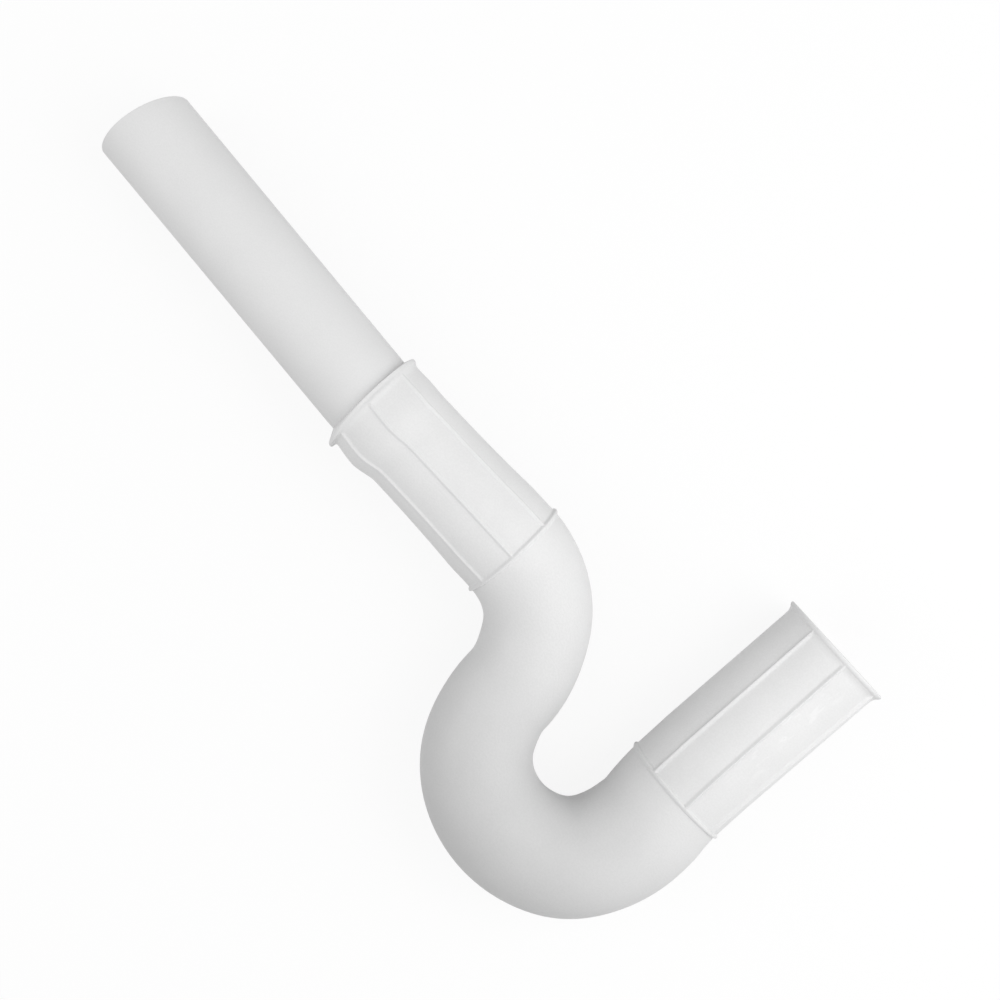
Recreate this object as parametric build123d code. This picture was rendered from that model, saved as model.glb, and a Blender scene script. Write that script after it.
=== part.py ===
from build123d import *
import os
from math import acos, asin, cos, degrees, radians, sin, tan

# Soft rubber P-trap with a loose outlet pipe, lying on its side. Sizes are in millimetres and angles in
# degrees. The inlet's mouth is at the origin and faces +Y, the bends lie in the XY plane, and the outlet
# runs towards -X. In use +Y is up.

# Rubber walls, thinner where the outlet is stretched over the pipe
rubber_wall = 2.6
stretched_wall = 2.0

# Inlet socket, which pushes over a basin's waste tail
inlet_bore = 35.0
inlet_depth = 72.0
inlet_flange_height = 1.5
inlet_flange_thickness = 1.9

# Waterway through the bends, narrowest in the riser
limb_bore = 34.8
belly_bore = 35.6
sump_bore = 34.5
back_bore = 33.0
riser_bore = 31.0
elbow_bore = 31.4
elbow_end_bore = 33.0

# Bends: the limb bows out under its own weight, turns through the sump and rises into the elbow
bow_radius = 41.0
bow_offset = 2.5
sump_bend_radius = 33.1
rise_length = 0.5
rise_lean = 1.7
elbow_bend_radius = 33.9
outlet_fall = 1.2

# Outlet socket, stretched over the pipe
outlet_bore = 30.6
outlet_length = 70.0
outlet_flange_height = 1.75
outlet_flange_thickness = 2.0
stretch_length = 10.0
skin_steps = 12

# Ribs, base rings and rounded edges that both sockets share
rib_count = 8
rib_width = 1.3
rib_height = 0.8
ring_height = 0.9
ring_thickness = 1.8
edge_round = 0.5

# Outlet pipe, pushed loosely into the outlet socket and sawn a little out of square
pipe_diameter = 32.0
pipe_wall = 2.0
pipe_reach = 114.0
pipe_insertion = 17.0
pipe_tip_taper = 0.3
pipe_taper_past_mouth = 3.0
pipe_swing = 3.2
pipe_cut_skew = 6.8
pipe_cut_lean = 4.8
pipe_clearance = 0.15
pipe_end_gap = 0.3
seat_overlap = 2.0

# Sizes that follow from those above
inlet_radius = inlet_bore / 2
inlet_outer = inlet_radius + rubber_wall
inlet_flange_radius = inlet_outer + inlet_flange_height
inlet_ring_radius = inlet_outer + ring_height
outlet_radius = outlet_bore / 2
elbow_end_radius = elbow_end_bore / 2
outlet_base_outer = elbow_end_radius + rubber_wall
outlet_neck_outer = outlet_radius + stretched_wall
pipe_radius = pipe_diameter / 2
pipe_length = pipe_insertion + pipe_reach
pipe_taper_length = pipe_insertion + pipe_taper_past_mouth
outlet_mouth_outer = pipe_radius + pipe_clearance + stretched_wall
outlet_ring_radius = outlet_base_outer + ring_height
outlet_flange_radius = outlet_mouth_outer + outlet_flange_height
outlet_heading = 180 + outlet_fall
pipe_heading = outlet_heading - pipe_swing

# The pipe droops until its free end lies on the surface that carries the inlet's flange
pipe_droop = degrees(asin((inlet_flange_radius - pipe_radius) / pipe_reach))


def cross_plane(origin, heading, droop=0.0):
    """Plane across a tube that runs along the heading: its x is level and its y is up."""
    turn = radians(heading)
    fall = radians(droop)
    along = (cos(turn) * cos(fall), sin(turn) * cos(fall), -sin(fall))
    return Plane(origin=origin, x_dir=(-sin(turn), cos(turn), 0), z_dir=along)


def rod(radius, start, end):
    """Round bar along z between two heights."""
    return Pos(0, 0, start) * Cylinder(radius, end - start, align=(Align.CENTER, Align.CENTER, Align.MIN))


def tapered_rod(start_radius, end_radius, length):
    """Round tapered bar along z that starts at the plane."""
    return Cone(start_radius, end_radius, length, align=(Align.CENTER, Align.CENTER, Align.MIN))


def rounded_rod(radius, start, end):
    """Round bar along z with both of its rims rounded."""
    bar = rod(radius, start, end)
    return fillet(bar.edges().filter_by(GeomType.CIRCLE), edge_round)


# Centreline of the bends: the bow, the sump, a short rise and the elbow, each tangent to the next
bow_angle = degrees(acos(1 - bow_offset / (bow_radius + sump_bend_radius)))
bow_centre = Vector(bow_radius, -inlet_depth)
bow_to_sump = Vector(-cos(radians(bow_angle)), -sin(radians(bow_angle))) * (bow_radius + sump_bend_radius)
sump_centre = bow_centre + bow_to_sump
sump_turn = 180 + bow_angle - rise_lean
rise_heading = 90 + rise_lean
rise_direction = Vector(cos(radians(rise_heading)), sin(radians(rise_heading)))
across_rise = Vector(-cos(radians(rise_lean)), -sin(radians(rise_lean)))
rise_start = sump_centre + across_rise * sump_bend_radius
rise_end = rise_start + rise_direction * rise_length
elbow_centre = rise_end + across_rise * elbow_bend_radius
elbow_turn = 90 + outlet_fall - rise_lean
bow_arc = CenterArc(bow_centre, bow_radius, 180, bow_angle)
sump_arc = CenterArc(sump_centre, sump_bend_radius, bow_angle, -sump_turn)
rise_line = Line(rise_start, rise_end)
elbow_arc = CenterArc(elbow_centre, elbow_bend_radius, rise_lean, elbow_turn)
centreline = Wire([bow_arc, sump_arc, rise_line, elbow_arc])


def sump_point(heading):
    """Point of the sump's arc where the tube runs along this heading, between -90 and -270."""
    return sump_arc @ ((bow_angle - 90 - heading) / sump_turn)


# Stations along the bends: where each is, the heading of the tube there and the waterway's bore
stations = [
    (bow_arc @ 0, -90, limb_bore),
    (sump_point(-135), -135, belly_bore),
    (sump_point(-180), -180, sump_bore),
    (sump_point(-225), -225, back_bore),
    (rise_line @ 0.5, rise_heading, riser_bore),
    (elbow_arc @ 0.5, rise_heading + elbow_turn / 2, elbow_bore),
    (elbow_arc @ 1, outlet_heading, elbow_end_bore),
]


def bend_tube(wall):
    """Tube along the centreline: the waterway's bore with this much wall around it."""
    sections = [cross_plane(at, heading) * Circle(bore / 2 + wall) for at, heading, bore in stations]
    return sweep(sections, path=centreline, multisection=True)


# Cross planes that the sockets and the pipe are built on, each with z along its own tube
inlet_plane = cross_plane((0, -inlet_depth, 0), 90)
outlet_plane = cross_plane(elbow_arc @ 1, outlet_heading)
mouth_centre = outlet_plane.from_local_coords((0, 0, outlet_length))
mouth_plane = cross_plane(mouth_centre, pipe_heading, pipe_droop)
pipe_plane = cross_plane(mouth_plane.from_local_coords((0, 0, -pipe_insertion)), pipe_heading, pipe_droop)


def outlet_skin(height):
    """Outside of the outlet socket, raised by a height: it tapers from the bend to a neck, and from there
    swells and shifts smoothly until it hugs the pipe."""
    tip = outlet_plane.to_local_coords(pipe_plane.origin)
    stretch_start = outlet_length - pipe_insertion - stretch_length / 2
    sections = []
    for step in range(skin_steps + 1):
        along = outlet_length * step / skin_steps
        taper = max(0, 1 - along / stretch_start) ** 2
        share = min(max((along - stretch_start) / stretch_length, 0), 1)
        grip = share * share * (3 - 2 * share)
        own_radius = outlet_neck_outer + (outlet_base_outer - outlet_neck_outer) * taper
        radius = own_radius + (outlet_mouth_outer - own_radius) * grip
        lean = grip * (outlet_length - along) / (outlet_length - tip.Z)
        centre = Pos(lean * tip.X, lean * tip.Y, along)
        sections.append(outlet_plane * centre * Circle(radius + height))
    return loft(sections)


def ribs(raised, plane, length, root):
    """Ribs around a socket: thin radial blades that start inside its wall, cut from its raised skin."""
    blade = Box(root, rib_width, length, align=(Align.MIN, Align.CENTER, Align.MIN))
    places = PolarLocations(root, rib_count)
    return [raised & (plane * place * blade) for place in places]


def inlet_socket():
    """Straight socket with a base ring, ribs and an outward flange at its mouth."""
    wall = inlet_plane * rod(inlet_outer, 0, inlet_depth)
    ring = inlet_plane * rounded_rod(inlet_ring_radius, -ring_thickness / 2, ring_thickness / 2)
    flange_back = inlet_depth - inlet_flange_thickness
    flange = inlet_plane * rounded_rod(inlet_flange_radius, flange_back, inlet_depth)
    raised = inlet_plane * rod(inlet_outer + rib_height, 0, inlet_depth)
    rib_root = inlet_outer - rubber_wall / 2
    return [wall, ring, flange] + ribs(raised, inlet_plane, inlet_depth, rib_root)


def outlet_socket():
    """Socket that follows the pipe pushed into it, with the same ring, ribs and flange."""
    ring = outlet_plane * rounded_rod(outlet_ring_radius, -ring_thickness / 2, ring_thickness / 2)
    flange_back = outlet_length - outlet_flange_thickness
    flange = outlet_plane * rounded_rod(outlet_flange_radius, flange_back, outlet_length)
    raised = outlet_skin(rib_height)
    rib_root = outlet_neck_outer - stretched_wall / 2
    blades = ribs(raised, outlet_plane, outlet_length, rib_root)
    return [outlet_skin(0), ring, flange] + blades


def pipe_outside(clearance):
    """Outside of the pipe along z from its inner end: a slight taper inside the socket, then straight."""
    tip_radius = pipe_radius - pipe_tip_taper
    tip = tapered_rod(tip_radius + clearance, pipe_radius + clearance, pipe_taper_length)
    return tip + rod(pipe_radius + clearance, pipe_taper_length, pipe_length + pipe_radius)


def trap_body():
    """The rubber moulding: bends and both sockets, hollowed by the waterway and the pipe's seat."""
    moulding = bend_tube(rubber_wall) + inlet_socket() + outlet_socket()
    inlet_hole = inlet_plane * rod(inlet_radius, 0, inlet_depth)
    outlet_depth = outlet_length - pipe_insertion + seat_overlap
    outlet_hole = outlet_plane * tapered_rod(elbow_end_radius, outlet_radius, outlet_depth)
    seat_end = rod(pipe_radius - pipe_tip_taper + pipe_clearance, -pipe_end_gap, 0)
    pipe_seat = pipe_plane * (pipe_outside(pipe_clearance) + seat_end)
    return moulding - [bend_tube(0), inlet_hole, outlet_hole, pipe_seat]


def outlet_pipe():
    """Plain plastic pipe, with its free end cut on a plane that leans sideways and upwards."""
    tube = pipe_outside(0) - rod(pipe_radius - pipe_wall, 0, pipe_length + pipe_radius)
    cut_normal = (-tan(radians(pipe_cut_skew)), -tan(radians(pipe_cut_lean)), 1)
    cut = Plane(origin=(0, 0, pipe_length), z_dir=cut_normal)
    return pipe_plane * split(tube, bisect_by=cut, keep=Keep.BOTTOM)


os.makedirs("parts", exist_ok=True)
export_step(trap_body(), "parts/trap_body.step")
export_step(outlet_pipe(), "parts/outlet_pipe.step")
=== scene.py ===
"""Looks for a soft white rubber P-trap with a plastic outlet pipe, lying on its side on a white table."""

import bpy
import numpy as np
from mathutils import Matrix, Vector


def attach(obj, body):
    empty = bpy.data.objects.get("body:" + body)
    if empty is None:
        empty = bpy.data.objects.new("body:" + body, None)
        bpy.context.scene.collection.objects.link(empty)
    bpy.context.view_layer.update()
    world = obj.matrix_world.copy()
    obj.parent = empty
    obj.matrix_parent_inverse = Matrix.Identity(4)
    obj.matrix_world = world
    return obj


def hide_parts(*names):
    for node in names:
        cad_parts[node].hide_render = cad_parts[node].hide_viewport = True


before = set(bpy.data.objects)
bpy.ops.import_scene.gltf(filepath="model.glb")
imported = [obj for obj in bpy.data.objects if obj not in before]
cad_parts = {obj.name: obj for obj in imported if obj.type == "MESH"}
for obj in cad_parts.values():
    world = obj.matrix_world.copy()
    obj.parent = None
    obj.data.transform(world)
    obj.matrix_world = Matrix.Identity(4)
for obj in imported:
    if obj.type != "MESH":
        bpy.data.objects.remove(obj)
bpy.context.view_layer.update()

# Sizes below are in millimetres and angles in degrees, as in the part's source
MM = 0.001

# Rubber walls, thinner where the outlet is stretched over the pipe
rubber_wall = 2.6
stretched_wall = 2.0

# Inlet socket, whose mouth is at the origin and faces +Y
inlet_radius = 17.5
inlet_depth = 72.0
inlet_flange_height = 1.5
inlet_flange_thickness = 1.9
inlet_sag_length = 30.0
inlet_sag_lean = 3.4
inlet_sag_skew = 1.3
inlet_sag_stretch = 0.8

# Bends
bow_radius = 41.0
bow_offset = 2.5
sump_bend_radius = 33.1
rise_length = 0.5
rise_lean = 1.7
elbow_bend_radius = 33.9
outlet_fall = 1.2
bend_bores = (34.8, 35.6, 34.5, 33.0, 31.0, 31.4, 33.0)

# The moulding isn't quite true: how far its bends stray sideways, at lengths along the route
stray_marks = (58, 70, 78, 91, 104, 118, 134, 150, 170, 186, 195, 212, 226, 240, 249)
stray_values = (0, 0.3, 0.5, -0.3, -0.1, 0.8, 0.35, 0, -0.15, -0.5, 0.1, 1.05, 0.4, 0.2, 0)

# Outlet socket, stretched over the pipe
outlet_radius = 15.3
outlet_length = 70.0
outlet_swell = 0.6
outlet_swell_fade = 12.0
outlet_flange_height = 1.75
outlet_flange_thickness = 2.0
outlet_flange_setback = 2.0
outlet_flange_skew = 0.5
outlet_flange_shift = 0.8
outlet_flange_flatness = 0.95
outlet_flange_upright = 0.85
outlet_flat_length = 3.0
outlet_flat_fade = 2.0
outlet_lean_length = 14.0
outlet_lip_share = 0.2
outlet_lip_gap = 0.03
stretch_length = 10.0

# Ribs, base rings and rounded edges that both sockets share
rib_count = 8
rib_width = 1.7
rib_height = 1.0
stretched_rib = 0.65
ring_height = 0.85
ring_thickness = 1.7
cove_length = 2.5
cove_share = 0.45
cove_hollow = 2.5
edge_round = 0.5

# Ribs from the top one on: which are there, none at the sides, and how many degrees each strays at both ends
rib_shares = (1, 1, 0, 1, 1, 1, 0, 1)
inlet_mouth_drift = (-2.6, 2.4, 0, 0, 0, 0, 0, 0.3)
inlet_base_drift = (0.1, -1.4, 0, 0, 0, 0, 0, 1.7)
outlet_base_drift = (0.8, -1.5, 0, 0, 0, 0, 0, -0.2)
outlet_mouth_drift = (0.7, 2.2, 0, 0, 0, 0, 0, -2.2)

# Outlet pipe
pipe_radius = 16.0
pipe_wall = 2.0
pipe_reach = 114.0
pipe_insertion = 17.0
pipe_tip_taper = 0.3
pipe_taper_length = 20.0
pipe_swing = 3.2
pipe_cut_skew = 6.8
pipe_cut_lean = 4.8
pipe_clearance = 0.15
pipe_edge_round = 0.35
pipe_cut_blend = 40.0

# Spacing of the meshes' rings and columns
ring_step = 1.4
fine_step = 0.2
bore_step = 2.5
columns_per_rib = 20
column_crowding = 3
pipe_ring_step = 3.0
pipe_column_step = 3.0

# Places in metres about which the inlet is scuffed with a painted highlight, and the painted sump shade is
# darkest
inlet_scuff_highlight = (0.0045, -0.030, 0.020)
along_inlet = (1.0, 0.3, 1.0)
sump_foot = (-0.035, -0.148, 0.012)

# Camera above the table, as the photograph was taken
camera_place = (-150.2, -28.0, 447.9)
camera_angles = (-5.42, -0.93, 48.4)
camera_lens = 48.6

# Half the side of the table, and the points that the lamps face
table_half = 3000.0
trap_middle = (-110.0, -60.0, 0.0)
inlet_mouth = (8.0, -12.0, 0.0)

# Sizes that follow from those above
inlet_outer = inlet_radius + rubber_wall
floor_height = -(inlet_outer + inlet_flange_height)
bow_angle = np.degrees(np.arccos(1 - bow_offset / (bow_radius + sump_bend_radius)))
sump_turn = 180 + bow_angle - rise_lean
elbow_turn = 90 + outlet_fall - rise_lean
bend_outers = np.array(bend_bores) / 2 + rubber_wall
outlet_neck_outer = outlet_radius + stretched_wall
outlet_mouth_outer = pipe_radius + pipe_clearance + stretched_wall
pipe_length = pipe_insertion + pipe_reach
pipe_droop = np.degrees(np.arcsin((-floor_height - pipe_radius) / pipe_reach))
rib_middles = np.arange(rib_count) * 360 / rib_count

# The route from the inlet's mouth to the outlet's: the length of each stretch and how far it turns
stretch_lengths = np.array([
    inlet_depth,
    bow_radius * np.radians(bow_angle),
    sump_bend_radius * np.radians(sump_turn),
    rise_length,
    elbow_bend_radius * np.radians(elbow_turn),
    outlet_length,
])
stretch_turns = np.array([0, bow_angle, -sump_turn, 0, elbow_turn, 0])
route_marks = np.concatenate([[0], np.cumsum(stretch_lengths)])
route_headings = -90 + np.concatenate([[0], np.cumsum(stretch_turns)])
limb_start, sump_start, rise_start, elbow_start, outlet_start, route_end = route_marks[1:]
seat_start = route_end - pipe_insertion


def smoothstep(value):
    """Rise from 0 to 1 as a value goes from 0 to 1, level at both ends."""
    share = np.clip(value, 0, 1)
    return share * share * (3 - 2 * share)


def raised_band(along, low, high, soft):
    """1 between two places along the route and 0 outside, with edges eased over a soft length."""
    return smoothstep((along - low) / soft + 0.5) * smoothstep((high - along) / soft + 0.5)


def eased(along, marks, values):
    """Smooth curve through values at marks: cubic pieces whose slopes are those between the neighbours."""
    marks = np.asarray(marks, float)
    values = np.asarray(values, float)
    slopes = np.gradient(values, marks)
    piece = np.clip(np.searchsorted(marks, along) - 1, 0, len(marks) - 2)
    span = marks[piece + 1] - marks[piece]
    share = np.clip((along - marks[piece]) / span, 0, 1)
    rise = smoothstep(share)
    start_pull = share * (1 - share) ** 2 * span * slopes[piece]
    end_pull = share ** 2 * (share - 1) * span * slopes[piece + 1]
    return values[piece] + (values[piece + 1] - values[piece]) * rise + start_pull + end_pull


def route(along):
    """Centre and heading at lengths along the route: the heading is the sum of the turns made so far, and
    the centre is the running sum of short steps along the heading."""
    steps = np.linspace(0, route_end, 6001)
    headings = np.radians(np.interp(steps, route_marks, route_headings))
    middle = (headings[1:] + headings[:-1]) / 2
    step = steps[1]
    x = np.concatenate([[0], np.cumsum(np.cos(middle) * step)])
    y = np.concatenate([[0], np.cumsum(np.sin(middle) * step)])
    centre = np.stack([np.interp(along, steps, x), np.interp(along, steps, y), 0 * along], -1)
    return centre, np.radians(np.interp(along, route_marks, route_headings))


def tilted_direction(heading, droop):
    """Unit vector along a heading that falls by a droop."""
    turn = np.radians(heading)
    fall = np.radians(droop)
    return np.array([np.cos(turn) * np.cos(fall), np.sin(turn) * np.cos(fall), -np.sin(fall)])


# The pipe's axis goes through the middle of the outlet's mouth
mouth_centre = route(np.array([route_end]))[0][0]
pipe_heading = route_headings[-1] - pipe_swing
pipe_axis = tilted_direction(pipe_heading, pipe_droop)


def grip(along):
    """How far the rubber has been drawn over the pipe: 0 along the neck, 1 on the pipe."""
    return smoothstep((along - seat_start) / stretch_length + 0.5)


def pipe_offset(along):
    """Offset from the route to the pipe's axis, at the same distance from the outlet's mouth."""
    socket_axis = tilted_direction(route_headings[-1], 0)
    drift = pipe_axis / (pipe_axis @ socket_axis) - socket_axis
    return (along - route_end)[:, None] * drift


def outer_radius(along):
    """Outside of the plain rubber wall: a straight inlet, the swelling bends, then a full outlet that
    tapers to a neck and widens again over the pipe."""
    bend_marks = (
        limb_start,
        sump_start + sump_bend_radius * np.radians(45 + bow_angle),
        sump_start + sump_bend_radius * np.radians(90 + bow_angle),
        sump_start + sump_bend_radius * np.radians(135 + bow_angle),
        (rise_start + elbow_start) / 2,
        (elbow_start + outlet_start) / 2,
        outlet_start,
    )
    bends = eased(along, bend_marks, bend_outers)
    neck_length = seat_start - stretch_length / 2 - outlet_start
    taper = np.clip(1 - (along - outlet_start) / neck_length, 0, 1) ** 2
    neck = outlet_neck_outer + (bend_outers[-1] - outlet_neck_outer) * taper
    outlet = neck + (outlet_mouth_outer - neck) * grip(along)
    fade = outlet_swell_fade
    outlet = outlet + outlet_swell * raised_band(along, outlet_start + fade / 2, route_end - fade / 2, fade)
    return np.where(along < limb_start, inlet_outer, np.where(along < outlet_start, bends, outlet))


def inner_radius(along):
    """Inside of the rubber: the inlet's bore, the waterway, a taper in the outlet and the pipe's seat."""
    waterway = outer_radius(along) - rubber_wall
    outlet_share = (along - outlet_start) / (seat_start - outlet_start)
    outlet = bend_outers[-1] - rubber_wall + (outlet_radius - bend_outers[-1] + rubber_wall) * outlet_share
    seat = pipe_radius + pipe_clearance
    plain = np.where(along < limb_start, inlet_radius, np.where(along < outlet_start, waterway, outlet))
    return np.where(along < seat_start, plain, seat)


def coved(distance, height, thickness):
    """Height of a lip at distances from its face: rounded off towards its back, then a hollow foot."""
    foot = np.clip(1 - (distance - thickness) / cove_length, 0, 1)
    cove = cove_share * height * foot ** cove_hollow
    return np.maximum(height * np.sqrt(np.clip(1 - (distance / thickness) ** 3, 0, 1)), cove)


def raised_trim(along):
    """Height of the flanges and base rings above the plain wall. The rings are round beads."""
    inlet_flange = coved(along, inlet_flange_height, inlet_flange_thickness)
    outlet_flange = coved(route_end - along, outlet_flange_height, outlet_flange_thickness)
    from_ring = np.minimum(np.abs(along - limb_start), np.abs(along - outlet_start))
    rings = ring_height * np.clip(1 - (2 * from_ring / ring_thickness) ** 2, 0, 1)
    return inlet_flange + outlet_flange + rings


def rib_columns():
    """Angles around the tube, crowded towards the ribs by a hyperbolic sine, and the rounded height at
    each as a share of a rib's."""
    share = np.linspace(-1, 1, columns_per_rib, endpoint=False)
    offset = 180 / rib_count * np.sinh(column_crowding * share) / np.sinh(column_crowding)
    angles = (rib_middles[:, None] + offset).ravel()
    slope = np.clip(1 - 2 * np.abs(np.radians(offset)) * inlet_outer / rib_width, 0, 1)
    profile = slope * (1.5 - 0.5 * slope ** 2)
    return angles, np.outer(rib_shares, profile).ravel()


def rib_drift(along, angles):
    """How many degrees the columns stray at lengths along the route: between the ribs, and between the
    ends of the sockets, the stray changes evenly."""
    ends = (0, limb_start, outlet_start, route_end)
    drifts = np.array([inlet_mouth_drift, inlet_base_drift, outlet_base_drift, outlet_mouth_drift])
    at_ribs = np.stack([np.interp(along, ends, drift) for drift in drifts.T], -1)
    away = np.abs((angles[:, None] - rib_middles + 180) % 360 - 180)
    return at_ribs @ np.clip(1 - away * rib_count / 360, 0, 1).T


def rubber_surface():
    """Closed skin of the moulding: rings from the inlet's mouth along the outside to the outlet's mouth and
    back along the inside. A ring's radius is the wall's, plus the taller of its trim and its ribs."""
    along = np.concatenate([
        np.arange(0, route_end, ring_step),
        np.arange(0, 5, fine_step),
        limb_start + np.arange(-4, 2, fine_step),
        outlet_start + np.arange(-2, 4, fine_step),
        route_end - np.arange(0, 5, fine_step),
    ])
    along = np.unique(np.round(along, 3))
    along = along[(along >= edge_round) & (along <= route_end - edge_round)]
    trim = raised_trim(along)
    outside = outer_radius(along)

    # Rounded lips: a quarter turn at each flange's edge and another at each bore's
    quarter = np.radians(np.linspace(0, 90, 6))[:-1]
    lip_depth = edge_round * (1 - np.cos(quarter))
    lip_drop = edge_round * (1 - np.sin(quarter))
    inlet_rim = inlet_outer + inlet_flange_height
    outlet_rim = outlet_mouth_outer + outlet_flange_height
    back = np.concatenate([
        np.arange(2, route_end - 2, bore_step),
        limb_start + np.array([-0.1, 0.1]),
        seat_start + np.array([-0.4, 0]),
    ])
    back = np.sort(back)[::-1]
    seat = pipe_radius + outlet_lip_gap
    along = np.concatenate([
        lip_depth, along, route_end - lip_depth[::-1],
        route_end - lip_depth, back, lip_depth[::-1],
    ])
    radius = np.concatenate([
        inlet_rim - lip_drop, outside, outlet_rim - lip_drop[::-1],
        seat + outlet_lip_share * lip_drop, inner_radius(back), inlet_radius + lip_drop[::-1],
    ])
    outer_rings = len(lip_depth) * 2 + len(outside)
    lips = np.zeros(len(lip_depth))
    trim = np.concatenate([lips, trim, lips, np.zeros(len(along) - outer_rings)])
    ribbed = raised_band(along, 0, limb_start, 1)
    ribbed = ribbed + stretched_rib * raised_band(along, outlet_start, route_end, 1)
    ribbed[:len(lips)] = 0
    ribbed[outer_rings - len(lips):] = 0

    angles, rib_shape = rib_columns()
    theta = np.radians(angles + rib_drift(along, angles))
    raised = np.maximum(trim[:, None], rib_height * ribbed[:, None] * rib_shape[None, :])
    reach = radius[:, None] + raised
    from_mouth = (route_end - along)[:, None]
    near_mouth = smoothstep(1 - from_mouth / outlet_lean_length)
    on_flange = smoothstep((outlet_flat_length - from_mouth) / outlet_flat_fade)
    upward = np.maximum(np.cos(theta), 0) ** 2
    proud = np.maximum(reach - outlet_mouth_outer, 0)
    flange_share = np.clip(proud / outlet_flange_height, 0, 1)
    reach = reach + outlet_flange_shift * near_mouth * flange_share * np.sin(theta)
    reach = reach - on_flange * proud * outlet_flange_flatness * upward

    centre, heading = route(along)
    drawn = grip(along)
    drawn[outer_rings:] = along[outer_rings:] >= seat_start
    centre = centre + drawn[:, None] * pipe_offset(along)
    side = np.stack([-np.sin(heading), np.cos(heading), 0 * heading], -1)
    centre = centre + eased(along, stray_marks, stray_values)[:, None] * side
    up = np.array([0.0, 0.0, 1.0])
    spokes = np.cos(theta)[..., None] * up + np.sin(theta)[..., None] * side[:, None, :]
    skin = centre[:, None, :] + reach[..., None] * spokes

    # The soft inlet sags, so its mouth leans back at the top and a little to one side
    sag = smoothstep(1 - along / inlet_sag_length)[:, None]
    lean = inlet_sag_stretch + skin[..., 0] * np.tan(np.radians(inlet_sag_skew))
    lean = lean - skin[..., 2] * np.tan(np.radians(inlet_sag_lean))
    skin[..., 1] += sag * lean

    # The stretched outlet's flange is flattened at the top and leans back at its sides
    rim = outlet_rim - outlet_flange_height * outlet_flange_flatness * upward
    height = (reach - pipe_radius) / (rim - pipe_radius)
    lean = outlet_flange_setback * (1 - outlet_flange_upright * np.sqrt(upward))
    lean = lean + outlet_flange_skew * np.sin(theta)
    return skin - (near_mouth * height * lean)[..., None] * tilted_direction(route_headings[-1], 0)


def pipe_surface():
    """Closed skin of the pipe: rings from its inner end along the outside to its free end and back along
    the bore. Near the free end the rings slide along the axis, so that the end is cut at a slant."""
    quarter = np.radians(np.linspace(0, 90, 5))
    opening = pipe_edge_round * (1 - np.cos(quarter))
    closing = pipe_edge_round * (1 - np.sin(quarter))
    outside = np.sort(np.append(np.arange(1, pipe_length - 2, pipe_ring_step), pipe_taper_length))
    tip = pipe_radius - pipe_tip_taper
    bore = pipe_radius - pipe_wall
    along = np.concatenate([
        closing, [0, 0], opening, outside,
        pipe_length - closing, pipe_length - opening, outside[::-1],
    ])
    rise = np.clip(outside / pipe_taper_length, 0, 1) * pipe_tip_taper
    radius = np.concatenate([
        bore + opening, [bore + 0.5, tip - 0.5], tip - closing, tip + rise,
        pipe_radius - opening, bore + closing, bore + 0 * outside,
    ])
    angles = np.radians(np.arange(0, 360, pipe_column_step))
    level = radius[:, None] * np.cos(angles)
    upward = radius[:, None] * np.sin(angles)
    slant = level * np.tan(np.radians(pipe_cut_skew)) + upward * np.tan(np.radians(pipe_cut_lean))
    slide = smoothstep((along - pipe_length + pipe_cut_blend) / pipe_cut_blend)
    place = along[:, None] + slide[:, None] * slant
    side = tilted_direction(pipe_heading + 90, 0)
    lift = np.cross(pipe_axis, side)
    start = mouth_centre - pipe_insertion * pipe_axis
    return start + place[..., None] * pipe_axis + level[..., None] * side + upward[..., None] * lift


def closed_mesh(name, rings):
    """Mesh object from rings of points, joined all the way round both ways, with faces outwards."""
    count, columns = rings.shape[:2]
    ring = np.arange(count)[:, None]
    column = np.arange(columns)[None, :]
    next_ring = (ring + 1) % count
    next_column = (column + 1) % columns
    corners = [ring * columns + column, next_ring * columns + column]
    corners += [next_ring * columns + next_column, ring * columns + next_column]
    quads = np.stack(corners, -1).reshape(-1, 4)
    points = rings.reshape(-1, 3) * MM
    first, second, third, fourth = points[quads].transpose(1, 0, 2)
    normals = np.cross(third - first, fourth - second)
    if (first * normals).sum() < 0:
        quads = quads[:, ::-1]
    mesh = bpy.data.meshes.new(name)
    mesh.from_pydata(points.tolist(), [], quads.tolist())
    mesh.shade_smooth()
    piece = bpy.data.objects.new(name, mesh)
    bpy.context.scene.collection.objects.link(piece)
    return piece


class Socket:
    """A shader value: sums, differences and products of values add their Math nodes."""

    def __init__(self, shader, link):
        self.shader = shader
        self.link = link

    def math(self, operation, first, second):
        return self.shader.node("ShaderNodeMath", {"operation": operation}, {0: first, 1: second})

    def __add__(self, other):
        return self.math("ADD", self, other)

    def __sub__(self, other):
        return self.math("SUBTRACT", self, other)

    def __rsub__(self, other):
        return self.math("SUBTRACT", other, self)

    def __mul__(self, other):
        return self.math("MULTIPLY", self, other)

    __radd__ = __add__
    __rmul__ = __mul__


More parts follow.
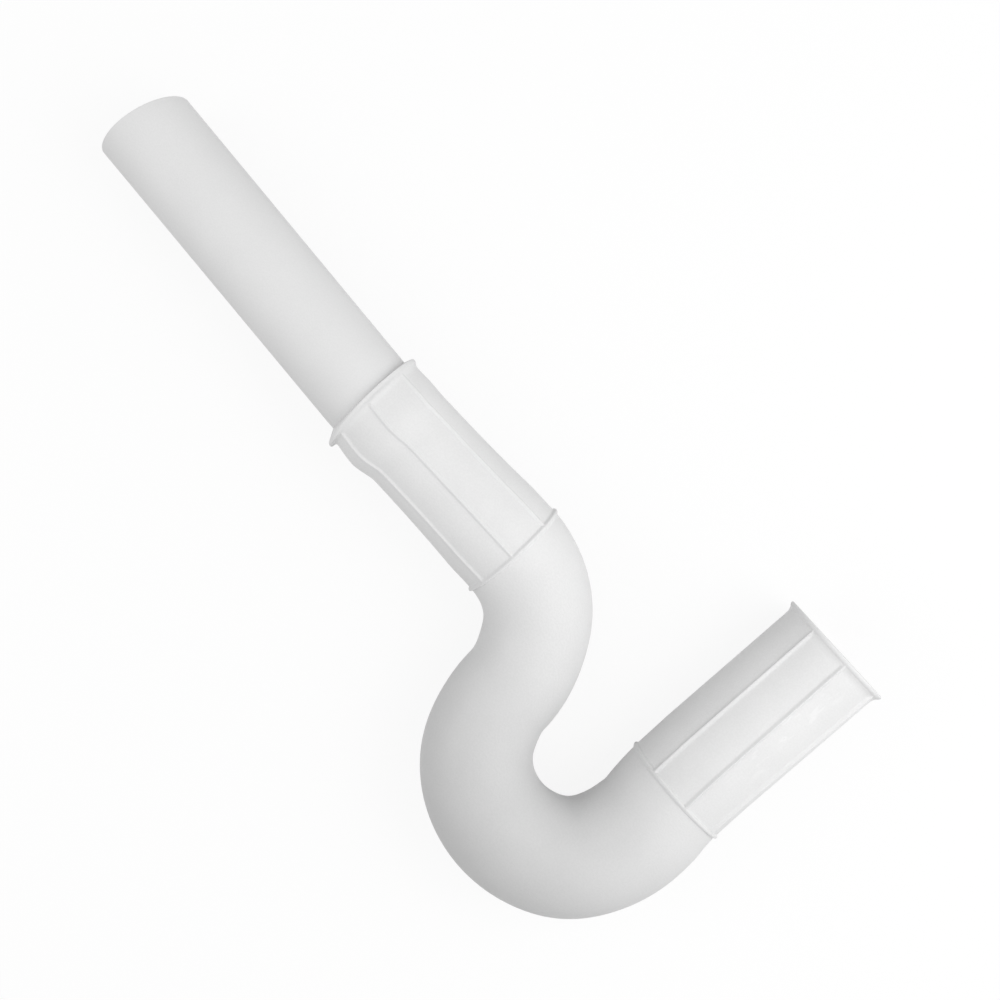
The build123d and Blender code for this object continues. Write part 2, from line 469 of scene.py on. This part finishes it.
class Shader:
    """A node material or world that is written as expressions."""

    def __init__(self, owner):
        owner.use_nodes = True
        self.owner = owner
        self.tree = owner.node_tree
        self.tree.nodes.clear()

    def node(self, kind, settings=None, sockets=None, output=0):
        """Add a node with its settings and the values or links of its sockets, and give one output."""
        made = self.tree.nodes.new(kind)
        for name, value in (settings or {}).items():
            setattr(made, name, value)
        for name, value in (sockets or {}).items():
            if isinstance(value, Socket):
                self.tree.links.new(value.link, made.inputs[name])
            else:
                made.inputs[name].default_value = value
        return Socket(self, made.outputs[output])

    def coordinates(self):
        """Places on the piece in metres."""
        return self.node("ShaderNodeTexCoord", output="Object")

    def drawn_out(self, place, factors):
        """Places measured from one of them in metres, with each axis scaled by its own factor."""
        kind = "ShaderNodeVectorMath"
        away = self.node(kind, {"operation": "SUBTRACT"}, {0: self.coordinates(), 1: place})
        return self.node(kind, {"operation": "MULTIPLY"}, {0: away, 1: factors})

    def noise(self, scale, detail=2.0, factors=(1.0, 1.0, 1.0)):
        """Cloudy values between 0 and 1 with this many patches to a metre."""
        sockets = {"Vector": self.drawn_out((0.0, 0.0, 0.0), factors), "Scale": scale, "Detail": detail}
        return self.node("ShaderNodeTexNoise", {"noise_dimensions": "3D"}, sockets)

    def near(self, place, reach, factors=(1.0, 1.0, 1.0)):
        """1 at a place on the piece, falling to 0 at a reach from it in metres."""
        away = self.drawn_out(place, factors)
        distance = self.node("ShaderNodeVectorMath", {"operation": "LENGTH"}, {0: away}, output="Value")
        return self.band(distance, reach, 0.0)

    def band(self, value, low, high, start=0.0, end=1.0):
        """Smooth change from a start to an end while a value goes from low to high."""
        settings = {"interpolation_type": "SMOOTHSTEP"}
        sockets = {"Value": value, "From Min": low, "From Max": high, "To Min": start, "To Max": end}
        return self.node("ShaderNodeMapRange", settings, sockets)

    def blend(self, share, first, second):
        """Colour between two colours."""
        sockets = {"Factor": share, 6: first, 7: second}
        return self.node("ShaderNodeMix", {"data_type": "RGBA"}, sockets, output=2)

    def bump(self, height, distance, strength, normal=None):
        """Surface normal over a height, which is a share of a distance in metres."""
        sockets = {"Height": height, "Distance": distance, "Strength": strength}
        if normal is not None:
            sockets["Normal"] = normal
        return self.node("ShaderNodeBump", None, sockets)

    def finish(self, surface, kind="ShaderNodeOutputMaterial"):
        """Send a shader to the output."""
        output = self.tree.nodes.new(kind)
        self.tree.links.new(surface.link, output.inputs["Surface"])
        return self.owner


def grey(level):
    """Neutral colour of one level."""
    return (level, level, level, 1.0)


def white_rubber():
    """Soft moulded rubber: cloudy white with painted shade that darkens it towards the sump, with a fine
    grain, satin with duller patches, and slick scuffs where the inlet has been handled, lifted by a painted
    highlight."""
    shader = Shader(bpy.data.materials.new("white_rubber"))
    clouds = shader.band(shader.noise(45.0, 3.0), 0.3, 0.7)
    grain = shader.band(shader.noise(1500.0, 2.0), 0.3, 0.7)
    # Slick scuffs on the inlet: lower roughness, and a colour lifted towards white as a painted highlight
    scuffs_and_highlight = shader.near(inlet_scuff_highlight, 0.011, along_inlet)
    scuffs_and_highlight = scuffs_and_highlight * shader.band(shader.noise(420.0, 2.0, along_inlet), 0.57, 0.67)
    # Painted shade: the rubber darkens towards the sump, standing in for light that falls off there
    painted_sump_shade = shader.near(sump_foot, 0.125)
    dark_tone_with_shade = shader.blend(painted_sump_shade, grey(0.790), grey(0.553))
    light_tone_with_shade = shader.blend(painted_sump_shade, grey(0.840), grey(0.589))
    colour = shader.blend(clouds * 0.48 + grain * 0.52, dark_tone_with_shade, light_tone_with_shade)
    # Painted highlight: the scuffs' colour is lifted towards white
    colour = shader.blend(scuffs_and_highlight * 0.6, colour, grey(0.9))
    roughness = shader.band(shader.noise(70.0, 2.0), 0.35, 0.7, 0.58, 0.48) + grain * 0.04 - scuffs_and_highlight * 0.24
    skin = shader.bump(grain, 0.0001, 0.15)
    skin = shader.bump(shader.noise(130.0, 2.0), 0.0004, 0.15, skin)
    sockets = {"Base Color": colour, "Roughness": roughness, "Normal": skin, "IOR": 1.5}
    return shader.finish(shader.node("ShaderNodeBsdfPrincipled", None, sockets))


def white_pipe():
    """Extruded plastic: even white and matte, with a fine grain."""
    shader = Shader(bpy.data.materials.new("white_pipe"))
    clouds = shader.band(shader.noise(30.0, 2.0), 0.3, 0.7)
    grain = shader.band(shader.noise(1800.0, 2.0), 0.3, 0.7)
    colour = shader.blend(clouds * 0.5 + grain * 0.5, grey(0.778), grey(0.818))
    roughness = shader.band(clouds, 0.0, 1.0, 0.64, 0.56)
    skin = shader.bump(grain, 0.0001, 0.1)
    sockets = {"Base Color": colour, "Roughness": roughness, "Normal": skin, "IOR": 1.46}
    return shader.finish(shader.node("ShaderNodeBsdfPrincipled", None, sockets))


def seen_directly(shader):
    """1 for rays from the camera and for what gloss and glass show, 0 for rays that carry light."""
    camera = shader.node("ShaderNodeLightPath", output="Is Camera Ray")
    glossy = shader.node("ShaderNodeLightPath", output="Is Glossy Ray")
    through = shader.node("ShaderNodeLightPath", output="Is Transmission Ray")
    return camera + glossy + through


def white_table():
    """Matte top that throws back half of its light. Where it is looked at it is white with a glow, and
    still takes a soft shadow."""
    shader = Shader(bpy.data.materials.new("white_table"))
    seen = seen_directly(shader)
    matte = shader.node("ShaderNodeBsdfDiffuse", None, {"Color": shader.blend(seen, grey(0.5), grey(0.97))})
    glow = shader.node("ShaderNodeEmission", None, {"Color": grey(1.0), "Strength": 1.0})
    return shader.finish(shader.node("ShaderNodeMixShader", None, {0: seen * 0.88, 1: matte, 2: glow}))


def table():
    """Flat square sheet under the part."""
    middle = np.array([camera_place[0], camera_place[1], floor_height])
    corners = middle + table_half * np.array([[-1, -1, 0], [1, -1, 0], [1, 1, 0], [-1, 1, 0]])
    mesh = bpy.data.meshes.new("table")
    mesh.from_pydata((corners * MM).tolist(), [], [(0, 1, 2, 3)])
    mesh.materials.append(white_table())
    sheet = bpy.data.objects.new("table", mesh)
    bpy.context.scene.collection.objects.link(sheet)


def lamp(name, aim, direction, distance, size, power):
    """Square soft lamp at a distance from an aim point, in millimetres, facing it."""
    data = bpy.data.lights.new(name, "AREA")
    data.size = size * MM
    data.energy = power
    light = bpy.data.objects.new(name, data)
    outwards = np.array(direction, float) / np.linalg.norm(direction)
    place = np.array(aim) + distance * outwards
    light.location = place * MM
    light.rotation_euler = Vector(outwards).to_track_quat("Z", "Y").to_euler()
    bpy.context.scene.collection.objects.link(light)


def camera():
    """Camera over the table, looking almost straight down."""
    data = bpy.data.cameras.new("camera")
    data.lens = camera_lens
    data.sensor_width = 36.0
    data.clip_start = 0.01
    viewer = bpy.data.objects.new("camera", data)
    viewer.location = np.array(camera_place) * MM
    viewer.rotation_euler = np.radians(camera_angles)
    bpy.context.scene.collection.objects.link(viewer)
    bpy.context.scene.camera = viewer


def daylight():
    """Even white surroundings, plain white where they are looked at."""
    world = bpy.data.worlds.new("daylight")
    bpy.context.scene.world = world
    shader = Shader(world)
    strength = shader.band(seen_directly(shader), 0.0, 1.0, 0.64, 1.0)
    glow = shader.node("ShaderNodeBackground", None, {"Color": (1, 1, 1, 1), "Strength": strength})
    shader.finish(glow, "ShaderNodeOutputWorld")


rubber = closed_mesh("rubber_trap", rubber_surface())
rubber.data.materials.append(white_rubber())
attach(rubber, "trap")
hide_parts("trap_body")

pipe = closed_mesh("plastic_pipe", pipe_surface())
pipe.data.materials.append(white_pipe())
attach(pipe, "pipe")
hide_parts("outlet_pipe")

table()
camera()
daylight()
lamp("key", trap_middle, (0.664, 0.748, 0.75), distance=900.0, size=900.0, power=2.9)
lamp("fill", trap_middle, (-0.664, -0.748, 0.75), distance=900.0, size=600.0, power=1.25)
lamp("near", trap_middle, (0.245, 0.510, 0.824), distance=510.0, size=250.0, power=0.2)
lamp("inlet", inlet_mouth, (0.35, 0.28, 0.9), distance=335.0, size=200.0, power=0.1)
bpy.context.scene.view_settings.view_transform = "Standard"
